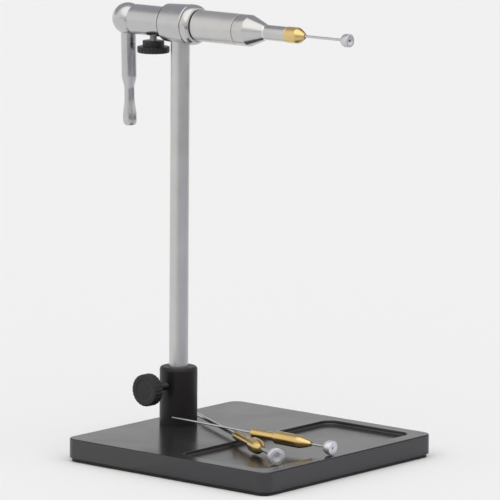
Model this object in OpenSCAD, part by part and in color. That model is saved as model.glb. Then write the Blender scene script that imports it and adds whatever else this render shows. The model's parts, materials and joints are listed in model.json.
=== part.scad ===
// In-line rotary tube-fly vise on a pedestal base, with two spare mandrels on its tray.
// Millimetres. The stem's axis is Z, and z = 0 is the table under the pad.
// The vise's axis runs along X, with the crank at the rear (-X) and the mandrel in front (+X).

/* [Base plate] */
// Distance from the stem's axis to the front edge
plate_front = 111.8; // [108:0.1:118]
// Distance from the stem's axis to the rear edge
plate_back = 17.7; // [13:0.1:24]
// Width of the plate
plate_wid = 131.5; // [118:0.1:150]
// Thickness of the steel plate
plate_t = 10; // [8:0.25:14]
// Radius of the plate's corners
plate_corner_r = 6; // [2:0.1:12]
// Width of the broken edges
plate_edge = 0.6; // [0.3:0.1:1.2]
// Thickness of the non-slip pad
pad_t = 1.75; // [1:0.05:3]
// How far the pad stays inside the plate's outline
pad_inset = 1.2; // [0.5:0.1:3]

/* [Tray] */
// Length of the tray, rear wall to front wall
tray_len = 53.5; // [46:0.1:60]
// Width of the rim at the front and sides
tray_rim = 7.8; // [5:0.1:9]
// Depth of the tray
tray_depth = 2; // [1:0.1:3]
// Radius of the tray's corners
tray_corner_r = 6; // [3:0.1:9]

/* [Stem and boss] */
// Diameter of the stem
stem_d = 9.525; // [9:0.025:10.5]
// Height of the vise's axis above the table
axis_h = 214.15; // [180:0.5:260]
// Diameter of the boss
boss_d = 19.05; // [18:0.05:24]
// Height of the boss above the plate
boss_h = 29.4; // [27:0.1:38]
// Rounding of the boss's top edge
boss_round = 1.8; // [0.8:0.1:3]
// Solid depth below the stem's socket in the boss
boss_floor = 5.6; // [5:0.1:7]
// Height of the clamping screw above the plate
clamp_h = 20.4; // [18:0.1:22]

/* [Head] */
// Length of the head's body behind the stem's axis
body_rear_len = 8.2; // [8:0.1:12]
// Length of the head's body in front of the stem's axis
body_front_len = 7.5; // [6.2:0.1:9]
// Diameter of the body at its rear shoulder
body_rear_d = 19; // [18.4:0.1:21]
// Diameter of the body at its front edge
body_front_d = 20.3; // [19.4:0.1:22]
// Diameter of the rear tube
tube_d = 15.2; // [14.8:0.1:16]
// Length of the rear tube outside the body
tube_len = 21.1; // [20.5:0.1:26]
// Length of the domed front cap
cap_len = 4.5; // [3.5:0.1:6]
// Thickness of the black washer in front of the cap
front_washer_t = 0.5; // [0.4:0.1:1.6]
// Thickness of the washer behind the rear tube
rear_washer_t = 0.45; // [0.3:0.05:1]

/* [Spindle and crank] */
// Diameter of the spindle
spindle_d = 8; // [7.4:0.05:8.4]
// Diameter of the hole through the spindle
spindle_bore_d = 3.2; // [2.8:0.1:3.6]
// Diameter of the ball at the crank's hub
ball_d = 16; // [15.4:0.1:18]
// Distance from the ball's centre to its flat face
ball_flat = 4.8; // [4.4:0.1:5.4]
// Distance from the vise's axis to the handle's end
handle_reach = 54.2; // [50:0.2:65]
// Diameter of the handle
handle_d = 7.5; // [6.6:0.1:7.8]
// Diameter of the handle's waist
handle_waist_d = 5.05; // [4:0.05:6]
// Diameter of the handle's swelling
handle_bulb_d = 7; // [6.2:0.1:7.4]
// Angle that the crank hangs from straight down
handle_swing = 1.8; // [0:0.1:5]

/* [Barrel and sleeve] */
// Diameter of the barrel
barrel_d = 15.6; // [15:0.1:17]
// Length of the barrel in front of the washer
barrel_len = 26.45; // [24:0.05:34]
// Width of the groove between the barrel and the sleeve
groove_w = 0.35; // [0.3:0.05:1.2]
// Diameter of the sleeve
sleeve_d = 15.7; // [15.2:0.1:17]
// Length of the sleeve's round part
sleeve_len = 6.9; // [6:0.1:10]
// Length of the sleeve's cone
sleeve_cone_len = 9.7; // [8:0.1:13]
// Diameter of the sleeve's nose
nose_d = 7.5; // [7.2:0.1:8.4]
// Length of the sleeve's nose
nose_len = 13.2; // [10:0.1:18]

/* [Collets] */
// Diameter of every collet's tail
tail_d = 4.4; // [4:0.05:4.8]
// Width of the saw cuts in the collets
saw_cut_w = 0.4; // [0.25:0.05:0.6]
// Diameter of the fitted collet's head
collet_head_d = 7.9; // [7:0.1:8.5]
// Length of the fitted collet's head
collet_head_len = 6.4; // [5:0.1:9]
// Length of the fitted collet's cone
collet_cone_len = 4.4; // [3.6:0.1:7]
// Length of the fitted collet's tail
collet_tail_len = 24; // [20:0.5:26]
// Diameter of the thick spare collet's head
spare_a_head_d = 7.4; // [6.6:0.1:7.7]
// Length of the thick spare collet's head
spare_a_head_len = 5.6; // [4.6:0.1:8]
// Length of the thick spare collet's cone
spare_a_cone_len = 5; // [4:0.1:7]
// Length of the thick spare collet's tail
spare_a_tail_len = 24; // [22:0.2:30]
// Diameter of the thin spare collet's head
spare_b_head_d = 6.5; // [5.8:0.1:7]
// Length of the thin spare collet's head
spare_b_head_len = 14; // [12:0.1:15]
// Length of the thin spare collet's cone
spare_b_cone_len = 7.7; // [6:0.1:9]
// Length of the thin spare collet's tail
spare_b_tail_len = 14.4; // [13.5:0.1:17]

/* [Mandrel pins] */
// Diameter of the fitted pin
pin_d = 1.3; // [1:0.05:1.6]
// Length of the fitted pin and its knob
pin_len = 116; // [100:1:130]
// Gap between the fitted collet's tip and the knob
pin_out = 23.1; // [15:0.1:30]
// Diameter of the fitted pin's knob
knob_d = 6.5; // [5.5:0.1:8]
// Length of every pin's knob
knob_len = 5; // [4.4:0.1:7]
// Diameter of the thick spare pin
spare_a_pin_d = 1.9; // [1.6:0.05:2.2]
// Length of the thick spare pin and its knob
spare_a_pin_len = 116; // [104:1:124]
// Diameter of the thick spare pin's knob
spare_a_knob_d = 8.2; // [7.4:0.1:9]
// Diameter of the thin spare pin
spare_b_pin_d = 1.1; // [0.9:0.05:1.3]
// Length of the thin spare pin and its knob
spare_b_pin_len = 100; // [92:1:106]
// Diameter of the thin spare pin's knob
spare_b_knob_d = 7; // [6:0.1:7.6]

/* [Resting places of the spares] */
// Thick spare's knob face, behind the plate's front edge
spare_a_back = 14.3; // [13:0.1:20]
// Thick spare's knob face, to the side of the stem's axis
spare_a_side = 40; // [38:0.1:42]
// Space between the thick spare's pin and the boss
spare_a_clear = 2.2; // [1:0.05:6]
// Gap between the thick spare's knob and the tip of its collet
spare_a_out = 16; // [14:0.1:19]
// Thin spare's knob face, behind the plate's front edge
spare_b_back = 3.2; // [1:0.1:4]
// Thin spare's knob face, to the side of the stem's axis
spare_b_side = 10.4; // [9:0.1:13]
// Space between the thin spare's pin and the boss
spare_b_clear = 4.95; // [4:0.05:7]
// Gap between the thin spare's knob and the tip of its collet
spare_b_out = 8.3; // [7.6:0.1:11]

/* [Thumb screws] */
// Diameter of the knurled flanges
flange_d = 16.2; // [14:0.1:18]
// Thickness of the head's knurled flange
lock_flange_t = 3.2; // [2.4:0.1:4.5]
// Thickness of the base's knurled flange
clamp_flange_t = 5.3; // [4:0.1:7]
// Diameter of the hubs above the flanges
thumb_hub_d = 10.9; // [9:0.1:12]
// Length of the hubs
thumb_hub_len = 3; // [2:0.1:4]
// Diameter of the screws
screw_d = 4; // [3.5:0.1:4.4]
// Bare length of the head's screw below the tube
lock_shank = 2.25; // [2.2:0.05:6]
// Bare length of the base's screw outside the boss
clamp_shank = 8.6; // [6:0.1:12]
// Distance of the head's screw behind the stem's axis
lock_back = 17.7; // [17:0.1:18.5]
// Number of flutes round a flange
flute_count = 24; // [18:1:30]

/* [Clearances] */
// Radial clearance of what turns or slides
run_gap = 0.05; // [0.03:0.005:0.08]
// Gap between a spare and what it rests on
rest_gap = 0.15; // [0.1:0.01:0.3]
// Gap between flat faces that move on each other
face_gap = 0.05; // [0.03:0.01:0.1]

/* [Hidden] */
$fn = 64;

// Heights
plate_top = pad_t + plate_t;
tray_floor = plate_top - tray_depth;
boss_top = plate_top + boss_h;
stem_foot = plate_top + boss_floor;
clamp_z = plate_top + clamp_h;

// Radii
stem_r = stem_d / 2;
boss_r = boss_d / 2;
spindle_r = spindle_d / 2;
screw_r = screw_d / 2;
flange_r = flange_d / 2;
thumb_hub_r = thumb_hub_d / 2;
tube_r = tube_d / 2;
ball_r = ball_d / 2;
handle_r = handle_d / 2;
barrel_r = barrel_d / 2;
sleeve_r = sleeve_d / 2;
nose_r = nose_d / 2;
tail_r = tail_d / 2;

// Small sizes of the base
plate_len = plate_front + plate_back;
plate_mid = (plate_front - plate_back) / 2;
tray_front = plate_front - tray_rim;
tray_rear = tray_front - tray_len;
bolt_r = 3;
bolt_head_r = 5.8;
bolt_head_len = bolt_head_r - bolt_r;
bolt_sunk = 0.3;
bolt_reach = boss_floor - 0.8 * bolt_r / 3;
bolt_key_af = 4;
bolt_key_deep = 2;

// Small sizes of the head
body_bore_r = spindle_r + 6 * run_gap;
body_shoulder_len = 1;
body_shoulder_drop = 0.7;
body_edge = 0.5;
stem_screw_r = 1.5;
stem_screw_head_r = 2.6;
stem_screw_head_len = stem_screw_head_r - stem_screw_r;
stem_screw_sunk = 0.1;
stem_screw_reach = 6;
socket_roof = 0.8;
socket_drop = body_bore_r + stem_screw_sunk + stem_screw_head_len + socket_roof;
stem_head = axis_h - socket_drop - face_gap;
spigot_r = 6.6;
spigot_len = 3;
tube_bore_r = spindle_r + 1.2;
bush_gap = 1.6;
rear_bush_len = body_rear_len + tube_len - lock_back - screw_r - bush_gap;
front_bush_r = spindle_r + 2;
front_bush_sunk = 1.6;
front_bush_len = 5;
cap_drop = 2;
tube_edge = 0.3;
stem_key_af = 2;
stem_key_deep = 0.9;

// Stations along the vise's axis
body_rear_x = -body_rear_len;
tube_rear_x = body_rear_x - tube_len;
washer_rear_x = tube_rear_x - face_gap - rear_washer_t;
ball_x = washer_rear_x - ball_flat;
cap_x = body_front_len;
cap_front_x = cap_x + cap_len;
barrel_x = cap_front_x + front_washer_t + face_gap;
barrel_front_x = barrel_x + barrel_len;
sleeve_x = barrel_front_x + groove_w;
cone_x = sleeve_x + sleeve_len;
nose_x = cone_x + sleeve_cone_len;
nose_front_x = nose_x + nose_len;
collet_tip_x = nose_front_x + face_gap + collet_head_len + collet_cone_len;
pin_face_x = collet_tip_x + pin_out + knob_len;

// Small sizes of the spindle, crank and barrel
spindle_rear_x = ball_x - 2;
spindle_grip = 13;
spindle_front_x = barrel_x + spindle_grip;
handle_root = spindle_r + 0.4;
handle_straight_share = 0.528;
handle_waist_share = 0.655;
handle_hold_share = 0.729;
handle_bulb_share = 0.934;
handle_steps = 10;
handle_end_share = 0.58;
hub_grub_r = 1.5;
hub_key_af = 1.5;
hub_key_deep = 0.9;
barrel_edge = 0.35;
thread_r = 5.8;
thread_len = 7.25;
jaw_r = 4.6;
jaw_tip_r = 3.1;
jaw_len = 7.6;
jaw_cut_w = 0.8;
sleeve_crown = 0.25;
cone_round_steps = 6;

// Small sizes of the collets, pins and thumb screws
collet_tip_r = 0.6;
collet_edge = 0.5;
cone_power = 1.35;
head_cut = 3;
tail_cut_share = 0.6;
knob_land = 2.2;
knob_dish_r_share = 0.66;
knob_dish = 0.5;
pin_sunk = 1.6;
pin_edge = 0.2;
tip_len = 2.2;
thumb_grip = 4;
flange_edge = 0.7;
flute_r = 0.8;
flute_deep = 0.35;
cut_over = 1;

// A quarter of an ellipse from [x0, r0] to [x1, r1], level at its first point
function crown(x0, r0, x1, r1, steps) =
    [for (i = [0 : steps]) [x0 + (x1 - x0) * sin(90 * i / steps), r1 + (r0 - r1) * cos(90 * i / steps)]];
// A cone from [x0, r0] to [x1, r1] that is level at first and bulges a little
function ogive(x0, r0, x1, r1, steps, power) =
    [for (i = [0 : steps]) [x0 + (x1 - x0) * i / steps, r0 + (r1 - r0) * pow(i / steps, power)]];
// A soft S-curve from [x0, r0] to [x1, r1]
function ease(x0, r0, x1, r1, steps) =
    [for (i = [0 : steps]) [x0 + (x1 - x0) * i / steps, r0 + (r1 - r0) * (1 - cos(180 * i / steps)) / 2]];

// Turns a list of [x, radius] points about the X axis
module turned(points) {
    rotate([0, 90, 0])
        rotate_extrude()
            polygon(concat([[0, points[0][0]]], [for (p = points) [p[1], p[0]]],
                [[0, points[len(points) - 1][0]]]));
}
// A round hole along X from x0 to x1
module bore_x(r, x0, x1) {
    translate([x0, 0, 0]) rotate([0, 90, 0]) cylinder(r = r, h = x1 - x0);
}
// Moves a piece drawn on the X axis up to the vise's axis
module on_axis() {
    translate([0, 0, axis_h]) children();
}

// A slab with round corners and broken edges, centred on the origin, its underside at z = 0
module slab(length, width, t, r, edge) {
    section = function(w) [[-w / 2 + edge, 0], [w / 2 - edge, 0], [w / 2, edge], [w / 2, t - edge],
        [w / 2 - edge, t], [-w / 2 + edge, t], [-w / 2, t - edge], [-w / 2, edge]];
    translate([-length / 2 + r, 0, 0]) rotate([90, 0, 90])
        linear_extrude(length - 2 * r) polygon(section(width));
    translate([0, width / 2 - r, 0]) rotate([90, 0, 0])
        linear_extrude(width - 2 * r) polygon(section(length));
    for (sx = [-1, 1], sy = [-1, 1])
        translate([sx * (length / 2 - r), sy * (width / 2 - r), 0])
            rotate_extrude()
                polygon([[0, 0], [r - edge, 0], [r, edge], [r, t - edge], [r - edge, t], [0, t]]);
}

// The steel plate, with the tray milled into its front half
module base_plate() {
    tray_wid = plate_wid - 2 * tray_rim;
    color("#3b3a3c")
        difference() {
            translate([plate_mid, 0, pad_t])
                slab(plate_len, plate_wid, plate_t, plate_corner_r, plate_edge);
            translate([(tray_front + tray_rear) / 2, 0, tray_floor])
                slab(tray_len, tray_wid, tray_depth + cut_over, tray_corner_r, 0);
            translate([0, 0, pad_t - cut_over])
                cylinder(r = bolt_r, h = plate_t + 2 * cut_over);
            translate([0, 0, pad_t + bolt_sunk])
                cylinder(r1 = bolt_head_r, r2 = bolt_r, h = bolt_head_len);
            translate([0, 0, pad_t - cut_over])
                cylinder(r = bolt_head_r, h = bolt_sunk + cut_over);
        }
}

// The thin non-slip pad under the plate
module base_pad() {
    color("#1b1b1c")
        translate([plate_mid, 0, 0])
            slab(plate_len - 2 * pad_inset, plate_wid - 2 * pad_inset, pad_t,
                max(plate_corner_r - pad_inset, plate_edge), 0);
}

// The black boss that holds the stem
module stem_boss() {
    color("#232123")
        difference() {
            translate([0, 0, plate_top])
                rotate_extrude()
                    polygon(concat([[0, 0], [boss_r, 0]],
                        [for (a = [0 : 15 : 90]) [boss_r - boss_round + boss_round * cos(a),
                            boss_h - boss_round + boss_round * sin(a)]],
                        [[0, boss_h]]));
            translate([0, 0, stem_foot]) cylinder(r = stem_r + run_gap, h = boss_h);
            translate([0, 0, plate_top - cut_over]) cylinder(r = bolt_r, h = bolt_reach + cut_over);
            translate([0, 0, clamp_z]) rotate([90, 0, 0])
                cylinder(r = screw_r + run_gap, h = boss_d);
        }
}

// The countersunk bolt that holds the boss from below
module boss_bolt() {
    key_r = bolt_key_af / sqrt(3);
    color("#55565a")
        translate([0, 0, pad_t + bolt_sunk])
            difference() {
                rotate_extrude()
                    polygon([[0, 0], [bolt_head_r, 0], [bolt_r, bolt_head_len],
                        [bolt_r, plate_t - bolt_sunk + bolt_reach], [0, plate_t - bolt_sunk + bolt_reach]]);
                translate([0, 0, -cut_over]) cylinder(r = key_r, h = bolt_key_deep + cut_over, $fn = 6);
            }
}

// The stem, a plain turned rod with broken ends and a hole in its top
module stem() {
    edge = plate_edge;
    color("#b9b8b6")
        difference() {
            rotate_extrude()
                polygon([[0, stem_foot], [stem_r - edge, stem_foot], [stem_r, stem_foot + edge],
                    [stem_r, stem_head - edge], [stem_r - edge, stem_head], [0, stem_head]]);
            translate([0, 0, stem_head - stem_screw_reach - cut_over])
                cylinder(r = stem_screw_r + run_gap, h = stem_screw_reach + 2 * cut_over);
        }
}

// A thumb screw stands on its tip, pointing along +Z from the pressure pad to the knob.
// The pad that presses on the clamped rod
module thumb_tip() {
    color("#b58a3c") cylinder(r = screw_r - run_gap / 2, h = tip_len);
}
// The screw behind the pad, up to its end inside the knob
module thumb_screw(reach) {
    color("#a9abae")
        translate([0, 0, tip_len + face_gap])
            cylinder(r = screw_r, h = reach + thumb_grip - tip_len - face_gap);
}
// The black knob, a hub under a fluted flange
module thumb_knob(reach, flange_t) {
    total = thumb_hub_len + flange_t;
    color("#1e1d1e")
        translate([0, 0, reach])
            difference() {
                rotate_extrude()
                    polygon([[0, 0], [thumb_hub_r, 0], [thumb_hub_r, thumb_hub_len],
                        [flange_r, thumb_hub_len], [flange_r, total - flange_edge],
                        [flange_r - flange_edge, total], [0, total]]);
                translate([0, 0, -cut_over]) cylinder(r = screw_r, h = thumb_grip + cut_over);
                for (i = [0 : flute_count - 1])
                    rotate([0, 0, 360 * i / flute_count])
                        translate([flange_r + flute_r - flute_deep, 0, thumb_hub_len - flute_deep])
                            cylinder(r = flute_r, h = flange_t + cut_over, $fn = 16);
            }
}

// Places a thumb screw at the boss, pointing to -Y
module at_clamp() {
    translate([0, -(stem_r + face_gap), clamp_z]) rotate([90, 0, 0]) children();
}
clamp_reach = boss_r - stem_r - face_gap + clamp_shank;
module clamp_tip() { at_clamp() thumb_tip(); }
module clamp_screw() { at_clamp() thumb_screw(clamp_reach); }
module clamp_knob() { at_clamp() thumb_knob(clamp_reach, clamp_flange_t); }

// Places a thumb screw under the rear tube, pointing down
module at_lock() {
    translate([-lock_back, 0, axis_h - spindle_r - face_gap]) rotate([180, 0, 0]) children();
}
lock_reach = tube_r - spindle_r - face_gap + lock_shank;
module lock_tip() { at_lock() thumb_tip(); }
module lock_screw() { at_lock() thumb_screw(lock_reach); }
module lock_knob() { at_lock() thumb_knob(lock_reach, lock_flange_t); }

// The head's body, a thick ring that sits across the top of the stem
module head_body() {
    rear_r = body_rear_d / 2;
    front_r = body_front_d / 2;
    shoulder = crown(body_rear_x + body_shoulder_len, rear_r,
        body_rear_x, rear_r - body_shoulder_drop, cone_round_steps);
    color("#b5b4b3")
        on_axis()
            difference() {
                turned(concat([for (i = [cone_round_steps : -1 : 0]) shoulder[i]],
                    [[cap_x - body_edge, front_r], [cap_x, front_r - body_edge]]));
                bore_x(body_bore_r, body_rear_x - cut_over, cap_x + cut_over);
                bore_x(spigot_r, body_rear_x - cut_over, body_rear_x + spigot_len);
                bore_x(front_bush_r, cap_x - front_bush_sunk, cap_x + cut_over);
                translate([0, 0, -front_r - cut_over])
                    cylinder(r = stem_r + run_gap, h = front_r + cut_over - socket_drop);
                translate([0, 0, -socket_drop - cut_over])
                    cylinder(r = stem_screw_r, h = socket_drop + cut_over);
                translate([0, 0, -body_bore_r - stem_screw_sunk - stem_screw_head_len])
                    cylinder(r1 = stem_screw_r, r2 = stem_screw_head_r, h = stem_screw_head_len);
                translate([0, 0, -body_bore_r - stem_screw_sunk])
                    cylinder(r = stem_screw_head_r, h = body_bore_r);
            }
}

// The rear tube, which carries the rear bush and the lock screw
module rear_tube() {
    color("#b3b2b0")
        on_axis()
            difference() {
                turned([[tube_rear_x, tube_r - tube_edge], [tube_rear_x + tube_edge, tube_r],
                    [body_rear_x, tube_r], [body_rear_x, spigot_r],
                    [body_rear_x + spigot_len, spigot_r]]);
                bore_x(tube_bore_r, tube_rear_x - cut_over, body_rear_x + spigot_len + cut_over);
                translate([-lock_back, 0, 0]) rotate([180, 0, 0])
                    cylinder(r = screw_r + run_gap, h = tube_d);
            }
}

// The domed cap that closes the front of the body
module front_cap() {
    front_r = body_front_d / 2;
    dome = crown(cap_x + body_edge, front_r, cap_front_x, front_r - cap_drop, cone_round_steps);
    color("#c2c1bf")
        on_axis()
            difference() {
                turned(concat([[cap_x, front_r - body_edge]], dome));
                bore_x(body_bore_r, cap_x - cut_over, cap_front_x + cut_over);
                bore_x(front_bush_r, cap_x - cut_over, cap_x + front_bush_len - front_bush_sunk);
            }
}

// A plain bush on the spindle from x0 to x1
module bush(r, x0, x1) {
    color("#9a7b4a")
        on_axis()
            difference() {
                bore_x(r, x0, x1);
                bore_x(spindle_r + run_gap, x0 - cut_over, x1 + cut_over);
            }
}
module rear_bush() { bush(tube_bore_r, tube_rear_x, tube_rear_x + rear_bush_len); }
module front_bush() {
    bush(front_bush_r, cap_x - front_bush_sunk, cap_x + front_bush_len - front_bush_sunk);
}

// The countersunk screw that goes down from the spindle's bore into the stem
module stem_screw() {
    key_r = stem_key_af / sqrt(3);
    top = axis_h - body_bore_r - stem_screw_sunk;
    color("#4a4b4e")
        difference() {
            rotate_extrude()
                polygon([[0, stem_head - stem_screw_reach], [stem_screw_r, stem_head - stem_screw_reach],
                    [stem_screw_r, top - stem_screw_head_len], [stem_screw_head_r, top], [0, top]]);
            translate([0, 0, top - stem_key_deep])
                cylinder(r = key_r, h = stem_key_deep + cut_over, $fn = 6);
        }
}

// The black washer between the cap and the barrel
module thrust_washer() {
    color("#222122")
        on_axis()
            difference() {
                bore_x(barrel_r - barrel_edge, cap_front_x, cap_front_x + front_washer_t);
                bore_x(spindle_r + run_gap, cap_front_x - cut_over, barrel_x + cut_over);
            }
}

// The steel washer between the rear tube and the crank's ball
module rear_washer() {
    color("#8d8e90")
        on_axis()
            difference() {
                bore_x(tube_bore_r + tube_edge, tube_rear_x - rear_washer_t, tube_rear_x);
                bore_x(spindle_r + run_gap, tube_rear_x - rear_washer_t - cut_over, tube_rear_x + cut_over);
            }
}

// The hollow spindle that turns in both bushes
module spindle() {
    edge = barrel_edge;
    color("#9fa1a4")
        on_axis()
            difference() {
                turned([[spindle_rear_x, spindle_r - edge], [spindle_rear_x + edge, spindle_r],
                    [spindle_front_x - edge, spindle_r], [spindle_front_x, spindle_r - edge]]);
                bore_x(spindle_bore_d / 2, spindle_rear_x - cut_over, spindle_front_x + cut_over);
            }
}

// The ball at the spindle's rear end, flat where it meets the washer
module crank_hub() {
    color("#bcbbba")
        on_axis()
            difference() {
                translate([ball_x, 0, 0]) sphere(r = ball_r);
                translate([washer_rear_x, -ball_r, -ball_r]) cube([ball_d, ball_d, ball_d]);
                bore_x(spindle_r, spindle_rear_x, ball_x + ball_d);
                translate([ball_x, 0, 0]) rotate([handle_swing, 0, 0]) {
                    translate([0, 0, -ball_d - handle_root]) cylinder(r = handle_r, h = ball_d);
                    rotate([-90, 0, 0]) cylinder(r = hub_grub_r, h = ball_d);
                }
            }
}

// The handle that hangs from the ball, with its waist and swelling
module crank_handle() {
    waist_r = handle_waist_d / 2;
    bulb_r = handle_bulb_d / 2;
    straight = handle_reach * handle_straight_share;
    waist = handle_reach * handle_waist_share;
    bulb = handle_reach * handle_bulb_share;
    outline = concat([[handle_root, handle_r]],
        ease(straight, handle_r, waist, waist_r, handle_steps),
        ease(handle_reach * handle_hold_share, waist_r, bulb, bulb_r, handle_steps),
        crown(bulb + barrel_edge, bulb_r, handle_reach, bulb_r * handle_end_share, handle_steps));
    color("#aeadac")
        translate([ball_x, 0, axis_h])
            rotate([180 + handle_swing, 0, 0])
                rotate_extrude()
                    polygon(concat([[0, handle_root]], [for (p = outline) [p[1], p[0]]],
                        [[0, handle_reach]]));
}

// The grub screw that holds the ball on the spindle
module crank_set_screw() {
    key_r = hub_key_af / sqrt(3);
    outer = ball_r - hub_key_deep / 2;
    color("#4a4b4e")
        translate([ball_x, 0, axis_h]) rotate([handle_swing - 90, 0, 0])
            difference() {
                translate([0, 0, spindle_r]) cylinder(r = hub_grub_r, h = outer - spindle_r);
                translate([0, 0, outer - hub_key_deep])
                    cylinder(r = key_r, h = hub_key_deep + cut_over, $fn = 6);
            }
}

// The barrel, with its thread and its split jaws inside the sleeve
module barrel() {
    thread_x = barrel_front_x + thread_len;
    jaw_x = thread_x + jaw_len;
    color("#b7b6b4")
        on_axis()
            difference() {
                turned([[barrel_x, barrel_r - barrel_edge], [barrel_x + barrel_edge, barrel_r],
                    [barrel_front_x - barrel_edge, barrel_r], [barrel_front_x, barrel_r - barrel_edge],
                    [barrel_front_x, thread_r], [thread_x, thread_r], [thread_x, jaw_r],
                    [jaw_x, jaw_tip_r]]);
                bore_x(spindle_r, barrel_x - cut_over, spindle_front_x);
                bore_x(tail_r + run_gap, barrel_x, jaw_x + cut_over);
                for (turn = [0, 90])
                    rotate([turn, 0, 0])
                        translate([thread_x, -jaw_r - cut_over, -jaw_cut_w / 2])
                            cube([jaw_len + cut_over, 2 * (jaw_r + cut_over), jaw_cut_w]);
            }
}

// The sleeve and its long nose, which squeeze the jaws on the collet's tail
module nose_sleeve() {
    thread_x = barrel_front_x + thread_len + 4 * face_gap;
    jaw_x = thread_x + jaw_len;
    cone_r = sleeve_r - sleeve_crown;
    color("#bdbcba")
        on_axis()
            difference() {
                turned(concat([[sleeve_x, sleeve_r - barrel_edge], [sleeve_x + barrel_edge, sleeve_r]],
                    crown((sleeve_x + cone_x) / 2, sleeve_r, cone_x, cone_r, cone_round_steps),
                    [[nose_x, nose_r], [nose_front_x - pin_edge, nose_r],
                        [nose_front_x, nose_r - pin_edge]]));
                bore_x(thread_r + run_gap, sleeve_x - cut_over, thread_x);
                translate([thread_x, 0, 0]) rotate([0, 90, 0])
                    cylinder(r1 = jaw_r + run_gap, r2 = jaw_tip_r + run_gap, h = jaw_len);
                bore_x(tail_r + run_gap, jaw_x - cut_over, nose_front_x + cut_over);
            }
}

// A mandrel is drawn along X with its knob's face at x = 0 and its pin running to -X.
// The split collet, with a tail that the jaws hold and a head with a coned nose
module split_collet(tip_x, head_d, head_len, cone_len, tail_len, hole_r) {
    head_r = head_d / 2;
    cone_base_x = tip_x - cone_len;
    head_x = cone_base_x - head_len;
    tail_x = head_x - tail_len;
    tip_r = hole_r + collet_tip_r;
    color("#c9a24a")
        difference() {
            turned(concat([[tail_x, tail_r - pin_edge], [tail_x + pin_edge, tail_r], [head_x, tail_r],
                [head_x, head_r - collet_edge], [head_x + collet_edge, head_r]],
                ogive(cone_base_x, head_r, tip_x, tip_r, cone_round_steps, cone_power)));
            bore_x(hole_r, tail_x - cut_over, tip_x + cut_over);
            for (turn = [0, 90])
                rotate([turn, 0, 0]) {
                    translate([cone_base_x - head_cut, -head_r - cut_over, -saw_cut_w / 2])
                        cube([cone_len + head_cut + cut_over, 2 * (head_r + cut_over), saw_cut_w]);
                    translate([tail_x - cut_over, -tail_r - cut_over, -saw_cut_w / 2])
                        cube([tail_len * tail_cut_share + cut_over, 2 * (tail_r + cut_over), saw_cut_w]);
                }
        }
}
// The straight steel pin, set into its knob
module steel_pin(d, length) {
    color("#a4a6a9")
        turned([[-length, d / 2 - pin_edge], [-length + pin_edge, d / 2], [-pin_sunk, d / 2]]);
}
// The flared knob on the pin's front end, with a dished face
module flared_knob(d, hole_d) {
    r = d / 2;
    land_x = -knob_land;
    flare = crown(land_x, r, -knob_len, hole_d / 2 + pin_edge, cone_round_steps);
    color("#d3d3d4")
        difference() {
            turned(concat([for (i = [cone_round_steps : -1 : 0]) flare[i]],
                [[-pin_edge, r], [0, r - pin_edge]]));
            bore_x(hole_d / 2, -knob_len - cut_over, cut_over);
            bore_x(r * knob_dish_r_share, -knob_dish, cut_over);
        }
}

// The fitted mandrel
module at_front() {
    translate([pin_face_x, 0, axis_h]) children();
}
module collet() {
    at_front() split_collet(-knob_len - pin_out, collet_head_d, collet_head_len, collet_cone_len,
        collet_tail_len, pin_d / 2 + run_gap);
}
module mandrel_pin() { at_front() steel_pin(pin_d, pin_len); }
module pin_knob() { at_front() flared_knob(knob_d, pin_d); }

// Radius of a spare at a distance behind its knob's face. ends holds where the knob, the bare
// pin, the head and the tail end; radii holds the radius of each, and last that of the pin behind.
function spare_r(run, ends, radii) =
    run < ends[0] ? radii[0] : run < ends[1] ? radii[1] : run < ends[2] ? radii[2]
    : run < ends[3] ? radii[3] : radii[4];
// The larger of its radii just before and just after that distance
function rest_r(run, ends, radii) =
    max(spare_r(run - tail_d, ends, radii), spare_r(run + tail_d, ends, radii));
function spare_ends(out, cone_len, head_len, tail_len) =
    let (tip = knob_len + out, tail_x = tip + cone_len + head_len)
    [knob_len, tip, tail_x, tail_x + tail_len];

// The thick spare lies with its knob in the tray and its tail on the tray's rear edge.
// Its heading takes its pin past the boss on the far side.
spare_a_ends = spare_ends(spare_a_out, spare_a_cone_len, spare_a_head_len, spare_a_tail_len);
spare_a_pin_r = spare_a_pin_d / 2;
spare_a_radii = [spare_a_knob_d / 2, spare_a_pin_r, spare_a_head_d / 2, tail_r, spare_a_pin_r];
spare_a_x = plate_front - spare_a_back;
spare_a_y = -spare_a_side;
spare_a_z = tray_floor + max(spare_a_radii) + rest_gap;
spare_a_turn = atan2(spare_a_y, spare_a_x)
    - asin((boss_r + spare_a_clear + spare_a_pin_r) / norm([spare_a_x, spare_a_y]));
edge_run = (spare_a_x - tray_rear) / cos(spare_a_turn);
edge_z = plate_top + rest_gap + rest_r(edge_run, spare_a_ends, spare_a_radii);
spare_a_tilt = atan((edge_z - spare_a_z) / edge_run);
module at_spare_a() {
    translate([spare_a_x, spare_a_y, spare_a_z]) rotate([0, 0, spare_a_turn])
        rotate([0, spare_a_tilt, 0]) children();
}
module spare_a_collet() {
    at_spare_a() split_collet(-knob_len - spare_a_out, spare_a_head_d, spare_a_head_len,
        spare_a_cone_len, spare_a_tail_len, spare_a_pin_r + run_gap);
}
module spare_a_pin() { at_spare_a() steel_pin(spare_a_pin_d, spare_a_pin_len); }
module spare_a_knob() { at_spare_a() flared_knob(spare_a_knob_d, spare_a_pin_d); }

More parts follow.
